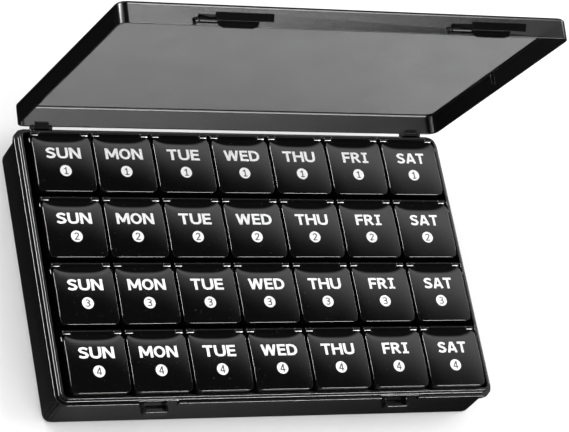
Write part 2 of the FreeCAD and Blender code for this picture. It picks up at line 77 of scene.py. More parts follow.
# printed width of each word in millimetres
WORD_WIDTHS = {"sun": 18.0, "mon": 19.4, "tue": 17.0, "wed": 19.2, "thu": 17.7, "fri": 14.3, "sat": 15.7}
# ears of a day box: their round top, width along X and the pin's height above the rim
EAR_ROUND = 1.5 * MM
EAR_WIDTH = 3.8 * MM
PIN_RISE = 2.0 * MM
# broken edge of small moulded details
EDGE = 0.2 * MM
# how far the crown's arch runs on past the front and back of a day lid
ARCH_PAST = 0.6 * MM
CREASE = math.radians(50)
LID_OPEN = math.radians(81.24)
LID_NORMAL = Vector((0, math.sin(LID_OPEN), math.cos(LID_OPEN)))


# sizes and colours

def length(name, description, default):
    return FloatProperty(name=name, description=description, default=default, unit="LENGTH", precision=5)


def share(name, description, default):
    return FloatProperty(name=name, description=description, default=default,
                         min=0, max=1, subtype="FACTOR")


def strength(name, description, default):
    return FloatProperty(name=name, description=description, default=default, min=0)


def pen(name, description, default):
    return FloatVectorProperty(name=name, description=description, default=default, size=2)


def colour(name, description, default):
    return FloatVectorProperty(name=name, description=description, default=default, size=4,
                               min=0, max=1, subtype="COLOR")


class CaseLook(bpy.types.PropertyGroup):
    edge_break: length("Edge break", "Rounding along the moulded edges of the case", 0.25 * MM)
    latch_break: length("Latch edge break", "Rounding along the edges of the latches", 0.2 * MM)
    black: colour("Case black", "Colour of the case and its lid frame", (0.0022, 0.0022, 0.0024, 1))
    smoke: colour("Smoke", "Tint of the lid panel", (0.02, 0.02, 0.021, 1))
    panel_cover: share("Panel cover", "How much each face of the panel hides what is behind it", 0.57)
    # Painted shade: the latch wall hides more of what is behind it from its Sunday end to its Saturday end,
    # so it darkens towards Saturday.
    latch_wall_clear: share("Latch wall, Sunday end", "The same for the Sunday end of the latch wall", 0.0)
    latch_wall_cover: share("Latch wall, Saturday end", "The same for its Saturday end", 0.86)
    # Painted shade: the hinge wall likewise hides more, and darkens, towards its Saturday end.
    hinge_wall_clear: share("Hinge wall, Sunday end", "The same for the Sunday end of the hinge wall", 0.66)
    hinge_wall_cover: share("Hinge wall, Saturday end", "The same for its Saturday end", 0.88)
    roughness: share("Roughness", "Roughness of the case plastic", 0.14)


class BoxLook(bpy.types.PropertyGroup):
    wall: length("Wall", "Wall of a day box", 1.1 * MM)
    corner: length("Corner", "Corner radius of a day box in plan", 2.5 * MM)
    lip: length("Lip", "Rounding along the rim of a day box", 0.3 * MM)
    pin: length("Pin", "Radius of the lid pins", 0.8 * MM)
    corner_steps: IntProperty(name="Corner steps", description="Facets around one corner", default=6, min=2)
    black: colour("Box black", "Colour of the day boxes", (0.0015, 0.0015, 0.0017, 1))
    roughness: share("Roughness", "Roughness of the day boxes", 0.09)


class LidLook(bpy.types.PropertyGroup):
    corner: length("Corner", "Corner radius of a day lid at its front", 2.6 * MM)
    drop_along: length("Crown along", "Fall of the crown towards front and back", 0.7 * MM)
    drop_across: length("Crown across", "Fall of the crown towards the sides", 0.1 * MM)
    back_fall: length("Back fall", "Fall of the crown at its back edge", 0.55 * MM)
    back_depth: length("Back depth", "How far in front of the back edge that fall begins", 4.2 * MM)
    roll: length("Edge roll", "Rounding between crown and skirt", 2.3 * MM)
    wall: length("Wall", "Wall of a day lid", 1.1 * MM)
    plug_deep: length("Plug", "Reach of the plug below the skirt", 1.6 * MM)
    cells: IntProperty(name="Cells", description="Cells of the crown along each side", default=20, min=8)
    black: colour("Lid black", "Colour of the day lids", (0.0015, 0.0015, 0.0017, 1))
    roughness: share("Roughness", "Roughness of the day lids", 0.09)


class PrintLook(bpy.types.PropertyGroup):
    cap_height: length("Cap height", "Height of the printed capitals", 5.9 * MM)
    word_back: length("Word place", "Middle of a word behind the middle of its lid", 3.7 * MM)
    disc_ahead: length("Disc place", "Middle of a week disc in front of the middle of its lid", 5.8 * MM)
    disc_radius: length("Disc", "Radius of a week disc", 2.95 * MM)
    digit_height: length("Digit", "Height of a week digit", 3.9 * MM)
    ink_thick: length("Ink", "How far the ink stands on the lid", 0.02 * MM)
    bold: pen("Bold pen", "Half widths of the pen of the words, in cap heights", (0.125, 0.095))
    fine: pen("Fine pen", "Half widths of the pen of the digits, in digit heights", (0.072, 0.062))
    white: colour("Ink white", "Colour of the printed words and discs", (0.98, 0.98, 0.98, 1))


class StageLook(bpy.types.PropertyGroup):
    key: strength("Key", "Power of the soft key light in watts", 11.0)
    sky: strength("Surroundings", "Brightness of the surroundings in the gloss", 1.8)
    air: strength("Air", "Brightness of the even light from all around", 1.0)
    cards: strength("Cards", "Brightness of the low white cards beside and in front", 34.0)
    dusk: strength("Dusk", "Brightness beside and in front, around the cards", 0.12)
    floor: colour("Floor", "Colour of the floor", (0.86, 0.86, 0.86, 1))


# node helpers

def wire(tree, kind, values=(), **settings):
    """New node with its settings and inputs: each value is a socket to join or a plain value."""
    node = tree.nodes.new(kind)
    for key, value in settings.items():
        setattr(node, key, value)
    for key, value in dict(values).items():
        if isinstance(value, bpy.types.NodeSocket):
            tree.links.new(value, node.inputs[key])
        else:
            node.inputs[key].default_value = value
    return node


def sums(tree, operation, *terms, clamp=False):
    """Math node on one to three sockets or numbers."""
    return wire(tree, "ShaderNodeMath", enumerate(terms), operation=operation, use_clamp=clamp).outputs[0]


def ramp(tree, value, start, stop, low=0.0, high=1.0, kind="SMOOTHSTEP"):
    """Carry a value from one range to another, held at both ends."""
    return wire(tree, "ShaderNodeMapRange", {"Value": value, "From Min": start, "From Max": stop,
                                             "To Min": low, "To Max": high},
                interpolation_type=kind).outputs[0]


def new_group(name, kind, inputs, outputs):
    """Node group with its sockets, and its input and output nodes."""
    tree = bpy.data.node_groups.new(name, kind)
    for label, socket, default in inputs:
        made = tree.interface.new_socket(label, in_out="INPUT", socket_type=socket)
        if default is not None:
            made.default_value = default
    for label, socket in outputs:
        tree.interface.new_socket(label, in_out="OUTPUT", socket_type=socket)
    return tree, tree.nodes.new("NodeGroupInput").outputs, tree.nodes.new("NodeGroupOutput").inputs


# shared effects

def mould_grain():
    """Faint flow ripple and fine grain of glossy injection moulded plastic."""
    tree, given, made = new_group("mould_grain", "ShaderNodeTree",
                                  [("Ripple scale", "NodeSocketFloat", 60.0),
                                   ("Grain scale", "NodeSocketFloat", 900.0)],
                                  [("Ripple", "NodeSocketFloat"), ("Grain", "NodeSocketFloat"),
                                   ("Height", "NodeSocketFloat")])
    place = wire(tree, "ShaderNodeTexCoord").outputs["Object"]
    ripple = wire(tree, "ShaderNodeTexNoise", {"Vector": place, "Scale": given["Ripple scale"],
                                               "Detail": 2.0, "Roughness": 0.4}).outputs[0]
    grain = wire(tree, "ShaderNodeTexNoise", {"Vector": place, "Scale": given["Grain scale"],
                                              "Detail": 3.0, "Roughness": 0.6}).outputs[0]
    tree.links.new(ripple, made["Ripple"])
    tree.links.new(grain, made["Grain"])
    tree.links.new(sums(tree, "MULTIPLY_ADD", grain, 0.12, ripple), made["Height"])
    return tree


def handling_wear():
    """Rubbed edges and hair scratches from use, as masks."""
    tree, given, made = new_group("handling_wear", "ShaderNodeTree",
                                  [("Edge reach", "NodeSocketFloat", 25.0),
                                   ("Scratch scale", "NodeSocketFloat", 140.0)],
                                  [("Edges", "NodeSocketFloat"), ("Scratches", "NodeSocketFloat")])
    place = wire(tree, "ShaderNodeTexCoord").outputs["Object"]
    thinness, bare_share, contrast = 60.0, 0.52, 5.0
    patchy = wire(tree, "ShaderNodeTexNoise", {"Vector": place, "Scale": 220.0, "Detail": 4.0}).outputs[0]
    facing = wire(tree, "ShaderNodeNewGeometry").outputs
    level = wire(tree, "ShaderNodeVectorMath", {0: facing["Normal"], 1: facing["True Normal"]},
                 operation="DOT_PRODUCT").outputs["Value"]
    rubbed = sums(tree, "MULTIPLY", sums(tree, "SUBTRACT", 1.0, level), given["Edge reach"], clamp=True)
    tree.links.new(sums(tree, "MULTIPLY", rubbed, patchy), made["Edges"])
    turned = wire(tree, "ShaderNodeMapping", {"Vector": place, "Rotation": (0.3, 0.2, 0.7),
                                              "Scale": (1.0, 14.0, 3.0)}).outputs[0]
    lines = wire(tree, "ShaderNodeTexNoise", {"Vector": turned, "Scale": given["Scratch scale"],
                                              "Detail": 1.0}).outputs[0]
    off_line = sums(tree, "ABSOLUTE", sums(tree, "SUBTRACT", lines, 0.5))
    fine = sums(tree, "SUBTRACT", 1.0, sums(tree, "MULTIPLY", off_line, thinness, clamp=True))
    here = sums(tree, "MULTIPLY", sums(tree, "SUBTRACT", patchy, bare_share), contrast, clamp=True)
    tree.links.new(sums(tree, "MULTIPLY", fine, here), made["Scratches"])
    return tree


def settled_dust():
    """Sparse dust on faces that look up, as a mask."""
    tree, given, made = new_group("settled_dust", "ShaderNodeTree",
                                  [("Speck scale", "NodeSocketFloat", 1500.0)],
                                  [("Dust", "NodeSocketFloat")])
    place = wire(tree, "ShaderNodeTexCoord").outputs["Object"]
    specks = wire(tree, "ShaderNodeTexVoronoi", {"Vector": place, "Scale": given["Speck scale"]}).outputs[0]
    clean_share, speck_size, steepest = 0.66, 0.16, 0.7
    patches = wire(tree, "ShaderNodeTexNoise", {"Vector": place, "Scale": 420.0, "Detail": 2.0}).outputs[0]
    few = sums(tree, "GREATER_THAN", patches, clean_share)
    dots = sums(tree, "MULTIPLY", sums(tree, "LESS_THAN", specks, speck_size), few)
    normal = wire(tree, "ShaderNodeNewGeometry").outputs["Normal"]
    up = wire(tree, "ShaderNodeSeparateXYZ", {0: normal}).outputs["Z"]
    tree.links.new(sums(tree, "MULTIPLY", dots, sums(tree, "GREATER_THAN", up, steepest)), made["Dust"])
    return tree


EFFECTS = {}


def effect(tree, name):
    """Shared effect placed in a material."""
    if name not in EFFECTS:
        EFFECTS[name] = {"grain": mould_grain, "wear": handling_wear, "dust": settled_dust}[name]()
    return wire(tree, "ShaderNodeGroup", node_tree=EFFECTS[name])


def plastic(name, tint, roughness, ripple=0.006, rub=0.35, dust=0.25, cover=None, gloss=0.5):
    """Glossy moulded plastic: ripple in the gloss, rubbed edges, hair scratches and dust.

    cover is how much of what is behind it the plastic hides at its Sunday and Saturday end. Where the two
    differ, the ramp between them is painted shade, darker towards the Saturday end.
    """
    rubbed_grey = (0.09, 0.09, 0.095, 1)
    dust_grey = (0.5, 0.49, 0.47, 1)
    scratch_share, grain_rough, ripple_rough, worn_rough = 0.10, 0.06, 0.05, 0.25
    material = bpy.data.materials.new(name)
    material.use_nodes = True
    tree = material.node_tree
    shader = tree.nodes["Principled BSDF"]
    grain = effect(tree, "grain").outputs
    wear = effect(tree, "wear").outputs
    specks = effect(tree, "dust").outputs["Dust"]
    marks = sums(tree, "ADD", sums(tree, "MULTIPLY", wear["Edges"], rub),
                 sums(tree, "MULTIPLY", wear["Scratches"], scratch_share), clamp=True)
    worn = wire(tree, "ShaderNodeMix", {0: marks, 6: tint, 7: rubbed_grey}, data_type="RGBA")
    dusty = wire(tree, "ShaderNodeMix", {0: sums(tree, "MULTIPLY", specks, dust),
                                         6: worn.outputs[2], 7: dust_grey}, data_type="RGBA")
    tree.links.new(dusty.outputs[2], shader.inputs["Base Color"])
    rough = sums(tree, "MULTIPLY_ADD", grain["Grain"], grain_rough, roughness - grain_rough / 2)
    rough = sums(tree, "MULTIPLY_ADD", grain["Ripple"], ripple_rough,
                 sums(tree, "SUBTRACT", rough, ripple_rough / 2))
    tree.links.new(sums(tree, "MULTIPLY_ADD", marks, worn_rough, rough), shader.inputs["Roughness"])
    bump = wire(tree, "ShaderNodeBump", {"Height": grain["Height"], "Strength": 0.35,
                                         "Distance": ripple * MM})
    tree.links.new(bump.outputs[0], shader.inputs["Normal"])
    shader.inputs["IOR"].default_value = 1.52
    shader.inputs["Specular IOR Level"].default_value = gloss
    # A cover that differs from end to end is painted shade: the plastic gets darker towards its Saturday
    # end.
    if cover:
        shade_power, cloud = 1.7, 0.04
        place = wire(tree, "ShaderNodeTexCoord").outputs["Object"]
        x = wire(tree, "ShaderNodeSeparateXYZ", {0: place}).outputs["X"]
        along = ramp(tree, x, CAD_BOX[0][0], CAD_BOX[1][0], kind="LINEAR")
        cover_with_painted_shade = sums(tree, "MULTIPLY_ADD", sums(tree, "POWER", along, shade_power), cover[1] - cover[0], cover[0])
        haze = sums(tree, "MULTIPLY_ADD", grain["Ripple"], cloud, sums(tree, "SUBTRACT", cover_with_painted_shade, cloud / 2))
        tree.links.new(haze, shader.inputs["Alpha"])
    return material


def ink(name, tint):
    """Screen printed ink with faint mottle and a slightly ragged gloss."""
    material = bpy.data.materials.new(name)
    material.use_nodes = True
    tree = material.node_tree
    shader = tree.nodes["Principled BSDF"]
    grain = effect(tree, "grain").outputs
    darker = tuple(0.9 * part for part in tint[:3]) + (1,)
    mottled = wire(tree, "ShaderNodeMix", {0: grain["Grain"], 6: tint, 7: darker}, data_type="RGBA")
    tree.links.new(mottled.outputs[2], shader.inputs["Base Color"])
    tree.links.new(sums(tree, "MULTIPLY_ADD", grain["Grain"], 0.15, 0.38), shader.inputs["Roughness"])
    bump = wire(tree, "ShaderNodeBump", {"Height": grain["Height"], "Strength": 0.3, "Distance": 0.01 * MM})
    tree.links.new(bump.outputs[0], shader.inputs["Normal"])
    return material


# mesh helpers

def rounded(half_x, half_y, radius, steps, height, middle=(0.0, 0.0)):
    """Points of a round-cornered rectangle, anticlockwise from above."""
    points = []
    flat_x, flat_y = half_x - radius, half_y - radius
    for at, (side_x, side_y) in enumerate(((1, 1), (-1, 1), (-1, -1), (1, -1))):
        for step in range(steps + 1):
            turn = math.pi / 2 * (at + step / steps)
            points.append(Vector((middle[0] + side_x * flat_x + radius * math.cos(turn),
                                  middle[1] + side_y * flat_y + radius * math.sin(turn), height)))
    return points


def loft(work, loops, wrap=False):
    """Skin over loops of equal count, with both ends closed or joined to each other."""
    rings = [[work.verts.new(point) for point in loop] for loop in loops]
    pairs = list(zip(rings, rings[1:]))
    if wrap:
        pairs.append((rings[-1], rings[0]))
    else:
        work.faces.new(list(reversed(rings[0])))
        work.faces.new(rings[-1])
    for low, high in pairs:
        for at in range(len(low)):
            after = (at + 1) % len(low)
            work.faces.new((low[at], low[after], high[after], high[at]))


def rod(work, start, stop, radius, middle, steps=24):
    """Round rod along X with slightly broken ends."""
    broken = radius * 0.15
    small = radius - broken
    loops = []
    for x, reach in ((start, small), (start + broken, radius), (stop - broken, radius), (stop, small)):
        loops.append([Vector((x, middle[0] + reach * math.cos(math.tau * at / steps),
                              middle[1] + reach * math.sin(math.tau * at / steps))) for at in range(steps)])
    loft(work, loops)


def to_mesh(work, name, smooth=True):
    """Turn a bmesh into a mesh and let it go."""
    mesh = bpy.data.meshes.new(name)
    for face in work.faces:
        face.smooth = smooth
    work.to_mesh(mesh)
    work.free()
    return mesh


def new_piece(name, mesh, *materials):
    piece = bpy.data.objects.new(name, mesh)
    bpy.context.scene.collection.objects.link(piece)
    if not mesh.materials:
        for material in materials:
            mesh.materials.append(material)
    return piece


def settle(piece):
    """Turn a piece's modifiers into its plain mesh."""
    bpy.context.view_layer.update()
    graph = bpy.context.evaluated_depsgraph_get()
    mesh = bpy.data.meshes.new_from_object(piece.evaluated_get(graph), depsgraph=graph)
    piece.modifiers.clear()
    piece.data = mesh
    return mesh


def soften(piece, width, angle=38, segments=2):
    """Round a piece's sharp edges and even out its shading."""
    bevel = piece.modifiers.new("broken_edges", "BEVEL")
    bevel.width = width
    bevel.segments = segments
    bevel.limit_method = "ANGLE"
    bevel.angle_limit = math.radians(angle)
    bevel.use_clamp_overlap = False
    evened = piece.modifiers.new("even_shading", "WEIGHTED_NORMAL")
    evened.keep_sharp = True
    evened.weight = 80
    return settle(piece)


def moulded_copy(node):
    """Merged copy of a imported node's mesh, with its flat faces made whole."""
    work = bmesh.new()
    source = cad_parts[node].data
    spots = [work.verts.new(vertex.co) for vertex in source.vertices]
    for polygon in source.polygons:
        work.faces.new([spots[at] for at in polygon.vertices])
    apart = 2e-6
    bmesh.ops.remove_doubles(work, verts=work.verts, dist=apart)
    bmesh.ops.dissolve_degenerate(work, edges=work.edges, dist=apart)
    bmesh.ops.dissolve_limit(work, angle_limit=math.radians(0.5), verts=work.verts, edges=work.edges)
    return to_mesh(work, node)


def stands_for(piece, body, slot, *nodes):
    """Ride on a body and hide the nodes it replaces; slot is not used."""
    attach(piece, body)
    if nodes:
        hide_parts(*nodes)


def places():
    """Name and middle of every box in plan."""
    for week in WEEKS:
        for day in DAYS:
            low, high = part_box("box_%s_%d" % (day, week))
            yield day, week, Vector(((low.x + high.x) / 2, (low.y + high.y) / 2, 0))


# case

class CaseTray(bpy.types.Operator):
    """Tray with its flange, upstand, ribs, strikes and hinge lugs"""
    bl_idname = "pills.case_tray"
    bl_label = "Case tray"

    def execute(self, context):
        look = context.scene.pill_case
        black = plastic("case_plastic", look.black, look.roughness)
        tray = new_piece("case_tray", moulded_copy("case_base"), black)
        soften(tray, look.edge_break)
        stands_for(tray, "case_base", "case_black", "case_base")
        return {"FINISHED"}


class CaseLid(bpy.types.Operator):
    """Case lid: opaque frame and walls around a smoked panel"""
    bl_idname = "pills.case_lid"
    bl_label = "Case lid"

    def execute(self, context):
        look = context.scene.pill_case
        black = plastic("lid_frame_plastic", look.black, look.roughness, gloss=0.3)
        smoke = [plastic("smoked_plastic", look.smoke, roughness=0.4, rub=0.1, dust=0.1, gloss=0.05,
                         cover=(look.panel_cover, look.panel_cover)),
                 # The latch and hinge walls carry painted shade: their cover rises towards the Saturday end.
                 plastic("smoked_latch_wall", look.smoke, roughness=0.12, rub=0.1, gloss=0.3,
                         cover=(look.latch_wall_clear, look.latch_wall_cover)),
                 plastic("smoked_hinge_wall", look.smoke, roughness=0.12, rub=0.1, gloss=0.2,
                         cover=(look.hinge_wall_clear, look.hinge_wall_cover))]
        cover = new_piece("case_cover", moulded_copy("case_lid"), black, *smoke)
        mesh = soften(cover, look.edge_break)
        along = LID_NORMAL.cross(Vector((1, 0, 0)))
        square, panel_area, wall_area, halfway_up = 0.999, 0.01, 2e-5, 0.1
        for polygon in mesh.polygons:
            if abs(polygon.normal.dot(LID_NORMAL)) > square and polygon.area > panel_area:
                polygon.material_index = 1
            elif abs(polygon.normal.dot(along)) > square and polygon.area > wall_area:
                polygon.material_index = 2 if polygon.center.z > halfway_up else 3
        cover.visible_glossy = False
        stands_for(cover, "case_lid", "lid_smoke", "case_lid")
        return {"FINISHED"}


class Latches(bpy.types.Operator):
    """The two snap latches on the case lid"""
    bl_idname = "pills.latches"
    bl_label = "Latches"

    def execute(self, context):
        look = context.scene.pill_case
        black = plastic("latch_plastic", look.black, look.roughness, rub=0.3, gloss=0.05)
        for node in ("left_latch", "right_latch"):
            latch = new_piece("snap_" + node, moulded_copy(node), black)
            soften(latch, look.latch_break)
            latch.visible_glossy = False
            stands_for(latch, node, "latch_black", node)
        return {"FINISHED"}


# day boxes

def ear_loops(low, high, centre, round_radius, foot, pin, broken, steps=24):
    """Loops of an ear along X: outline, broken edges and the bore for a pin."""
    outline = []
    bore = []
    for at in range(steps):
        turn = math.tau * (at + 0.5) / steps - math.pi / 2
        ray = Vector((math.cos(turn), math.sin(turn)))
        bore.append(Vector(centre) + ray * pin)
        if ray.y >= 0:
            outline.append(Vector(centre) + ray * round_radius)
        else:
            reach = min(round_radius / max(abs(ray.x), 1e-6), (centre[1] - foot) / abs(ray.y))
            outline.append(Vector(centre) + ray * reach)
    middle = Vector(centre)

    def at_x(x, ring, inset=0.0):
        return [Vector((x, *(spot - (spot - middle).normalized() * inset))) for spot in ring]

    return [at_x(low + broken, outline), at_x(high - broken, outline), at_x(high, outline, broken),
            at_x(high, bore), at_x(low, bore), at_x(low, outline, broken)]


class DayBoxes(bpy.types.Operator):
    """The twenty-eight day boxes with their lid ears"""
    bl_idname = "pills.day_boxes"
    bl_label = "Day boxes"

    def execute(self, context):
        look = context.scene.pill_box
        low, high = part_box("box_sun_1")
        half = (high - low) / 2
        rim = high.z - PIN_RISE - EAR_ROUND
        wall, lip, steps = look.wall, look.lip, look.corner_steps
        foot = 0.5 * MM
        scoop = 1.2 * MM
        knee = 0.3
        floor = low.z + wall
        least_corner = 0.4 * MM
        work = bmesh.new()
        profile = [(foot, low.z), (foot * knee, low.z + foot * knee), (0, low.z + foot), (0, rim - lip),
                   (lip * knee, rim - lip * knee), (lip, rim), (wall - lip, rim),
                   (wall - lip * knee, rim - lip * knee), (wall, rim - lip), (wall, floor + scoop),
                   (wall + scoop * knee, floor + scoop * knee), (wall + scoop, floor)]
        loft(work, [rounded(half.x - inset, half.y - inset, max(look.corner - inset, least_corner), steps, z)
                    for inset, z in profile])
        centre = (half.y - EAR_ROUND, rim + PIN_RISE)
        root = rim - 0.6 * MM
        bore = look.pin + 0.05 * MM
        for side in (-1, 1):
            ends = sorted((side * (half.x - EAR_WIDTH), side * half.x))
            loft(work, ear_loops(*ends, centre, EAR_ROUND, root, bore, EDGE), wrap=True)
        bmesh.ops.recalc_face_normals(work, faces=work.faces)
        shell = to_mesh(work, "day_box")
        shell.set_sharp_from_angle(angle=CREASE)
        black = plastic("box_plastic", look.black, look.roughness)
        for day, week, middle in places():
            name = "%s_%d" % (day, week)
            mesh = shell.copy()
            mesh.transform(Matrix.Translation(middle))
            box = new_piece("day_box_" + name, mesh, black)
            evened = box.modifiers.new("even_shading", "WEIGHTED_NORMAL")
            evened.weight = 80
            evened.keep_sharp = True
            stands_for(box, "box_" + name, "box_black", "box_" + name)
        bpy.data.meshes.remove(shell)
        return {"FINISHED"}


# day lids

def crown_tree():
    """Geometry nodes for the skin of a day lid: a grid drawn to round corners, arched and skirted."""
    round_ends, tiny = 1.15, 1e-7
    tree, given, made = new_group(
        "crowned_skin", "GeometryNodeTree",
        [("Half width", "NodeSocketFloat", 0.0149), ("Half length", "NodeSocketFloat", 0.0148),
         ("Middle", "NodeSocketFloat", 0.0), ("Corner", "NodeSocketFloat", 0.0026),
         ("Crown height", "NodeSocketFloat", 0.03186), ("Arch reach", "NodeSocketFloat", 0.0171),
         ("Fall along", "NodeSocketFloat", 0.0007), ("Fall across", "NodeSocketFloat", 0.0001),
         ("Back fall", "NodeSocketFloat", 0.0005), ("Back depth", "NodeSocketFloat", 0.004),
         ("Back", "NodeSocketFloat", 0.013),
         ("Skirt height", "NodeSocketFloat", 0.028), ("Cells", "NodeSocketInt", 20),
         ("Material", "NodeSocketMaterial", None)],
        [("Geometry", "NodeSocketGeometry")])
    tree.is_modifier = True
    count = sums(tree, "ADD", given["Cells"], 1.0)
    grid = wire(tree, "GeometryNodeMeshGrid", {"Size X": 2.0, "Size Y": 2.0, "Vertices X": count,
                                               "Vertices Y": count})
    spot = wire(tree, "ShaderNodeSeparateXYZ", {0: wire(tree, "GeometryNodeInputPosition").outputs[0]})
    spread = []
    for axis, half in ((0, "Half width"), (1, "Half length")):
        eased = sums(tree, "SINE", sums(tree, "MULTIPLY", spot.outputs[axis], math.pi / 2))
        spread.append(sums(tree, "MULTIPLY", eased, given[half]))
    past = []
    straight = []
    for place, half in zip(spread, ("Half width", "Half length")):
        flat = sums(tree, "SUBTRACT", given[half], given["Corner"])
        size = sums(tree, "ABSOLUTE", place)
        past.append(sums(tree, "MAXIMUM", sums(tree, "SUBTRACT", size, flat), 0.0))
        straight.append(sums(tree, "MINIMUM", size, flat))
    widest = sums(tree, "MAXIMUM", *past)
    squares = [sums(tree, "POWER", over, 2.0) for over in past]
    slant = sums(tree, "SQRT", sums(tree, "ADD", *squares))
    squeeze = sums(tree, "DIVIDE", widest, sums(tree, "MAXIMUM", slant, tiny))
    drawn = []
    for place, over, flat in zip(spread, past, straight):
        size = sums(tree, "MULTIPLY_ADD", over, squeeze, flat)
        drawn.append(sums(tree, "MULTIPLY", size, sums(tree, "SIGN", place)))
    y = sums(tree, "ADD", drawn[1], given["Middle"])
    along = sums(tree, "POWER", sums(tree, "DIVIDE", y, given["Arch reach"]), 2.0)
    across = sums(tree, "POWER", sums(tree, "DIVIDE", drawn[0], given["Half width"]), 4.0)
    fall = sums(tree, "ADD", sums(tree, "MULTIPLY", along, given["Fall along"]),
                sums(tree, "MULTIPLY", across, given["Fall across"]))
    bow = sums(tree, "MULTIPLY", sums(tree, "SUBTRACT", round_ends, across), given["Back depth"])
    behind = sums(tree, "DIVIDE", sums(tree, "SUBTRACT", y, sums(tree, "SUBTRACT", given["Back"], bow)),
                  given["Back depth"])
    dip = sums(tree, "POWER", sums(tree, "MAXIMUM", behind, 0.0), 2.0)
    fall = sums(tree, "MULTIPLY_ADD", dip, given["Back fall"], fall)
    arched = wire(tree, "ShaderNodeCombineXYZ", {0: drawn[0], 1: y, 2: sums(
        tree, "SUBTRACT", given["Crown height"], fall)}).outputs[0]
    crown = wire(tree, "GeometryNodeSetPosition", {"Geometry": grid.outputs[0], "Position": arched})
    edges = wire(tree, "GeometryNodeInputMeshEdgeNeighbors").outputs[0]
    rim = wire(tree, "FunctionNodeCompare", {2: edges, 3: 1}, data_type="INT", operation="EQUAL").outputs[0]
    skirt = wire(tree, "GeometryNodeExtrudeMesh", {"Mesh": crown.outputs[0], "Selection": rim,
                                                   "Offset": (0.0, 0.0, -1.0), "Offset Scale": MM},
                 mode="EDGES")
    place = wire(tree, "GeometryNodeInputPosition").outputs[0]
    now = wire(tree, "ShaderNodeSeparateXYZ", {0: place}).outputs
    level = wire(tree, "ShaderNodeCombineXYZ", {0: now[0], 1: now[1], 2: given["Skirt height"]}).outputs[0]
    hung = wire(tree, "GeometryNodeSetPosition", {"Geometry": skirt.outputs["Mesh"], "Selection":
                                                  skirt.outputs["Top"], "Position": level})
    real = wire(tree, "GeometryNodeRealizeInstances", {"Geometry": hung.outputs[0]})
    done = wire(tree, "GeometryNodeSetMaterial", {"Geometry": real.outputs[0],
                                                  "Material": given["Material"]})
    tree.links.new(done.outputs[0], made["Geometry"])
    return tree


def grown(tree, name, **inputs):
    """Plain mesh that a node tree makes from its named inputs."""
    piece = bpy.data.objects.new(name, bpy.data.meshes.new(name))
    bpy.context.scene.collection.objects.link(piece)
    nodes = piece.modifiers.new(name, "NODES")
    nodes.node_group = tree
    for item in tree.interface.items_tree:
        key = item.name.replace(" ", "_").lower()
        if item.in_out == "INPUT" and key in inputs:
            nodes[item.identifier] = inputs[key]
    mesh = settle(piece)
    bpy.data.objects.remove(piece)
    return mesh


def lid_skin(look, half, back, crown, skirt, black):
    """Crowned top and skirt as a closed shell with a rolled edge."""
    front = -half.y
    skin = grown(crown_tree(), "crown_skin", half_width=half.x, half_length=(back - front) / 2,
                 middle=(back + front) / 2, corner=look.corner, crown_height=crown,
                 arch_reach=half.y + ARCH_PAST, fall_along=look.drop_along, fall_across=look.drop_across,
                 back_fall=look.back_fall, back_depth=look.back_depth, back=back,
                 skirt_height=skirt, cells=look.cells, material=black)
    work = bmesh.new()
    work.from_mesh(skin)
    bmesh.ops.remove_doubles(work, verts=work.verts, dist=1e-7)
    bmesh.ops.recalc_face_normals(work, faces=work.faces)
    if max(work.faces, key=lambda face: face.calc_center_median().z).normal.z < 0:
        bmesh.ops.reverse_faces(work, faces=work.faces)
    piece = new_piece("crown_skin", to_mesh(work, "crown_skin"), black)
    roll = piece.modifiers.new("edge_roll", "BEVEL")
    roll.width = look.roll
    roll.segments = 6
    roll.limit_method = "ANGLE"
    roll.angle_limit = CREASE
    shell = piece.modifiers.new("wall", "SOLIDIFY")
    shell.thickness = look.wall
    shell.offset = -1
    shell.use_even_offset = True
    mesh = settle(piece)
    bpy.data.objects.remove(piece)
    return mesh


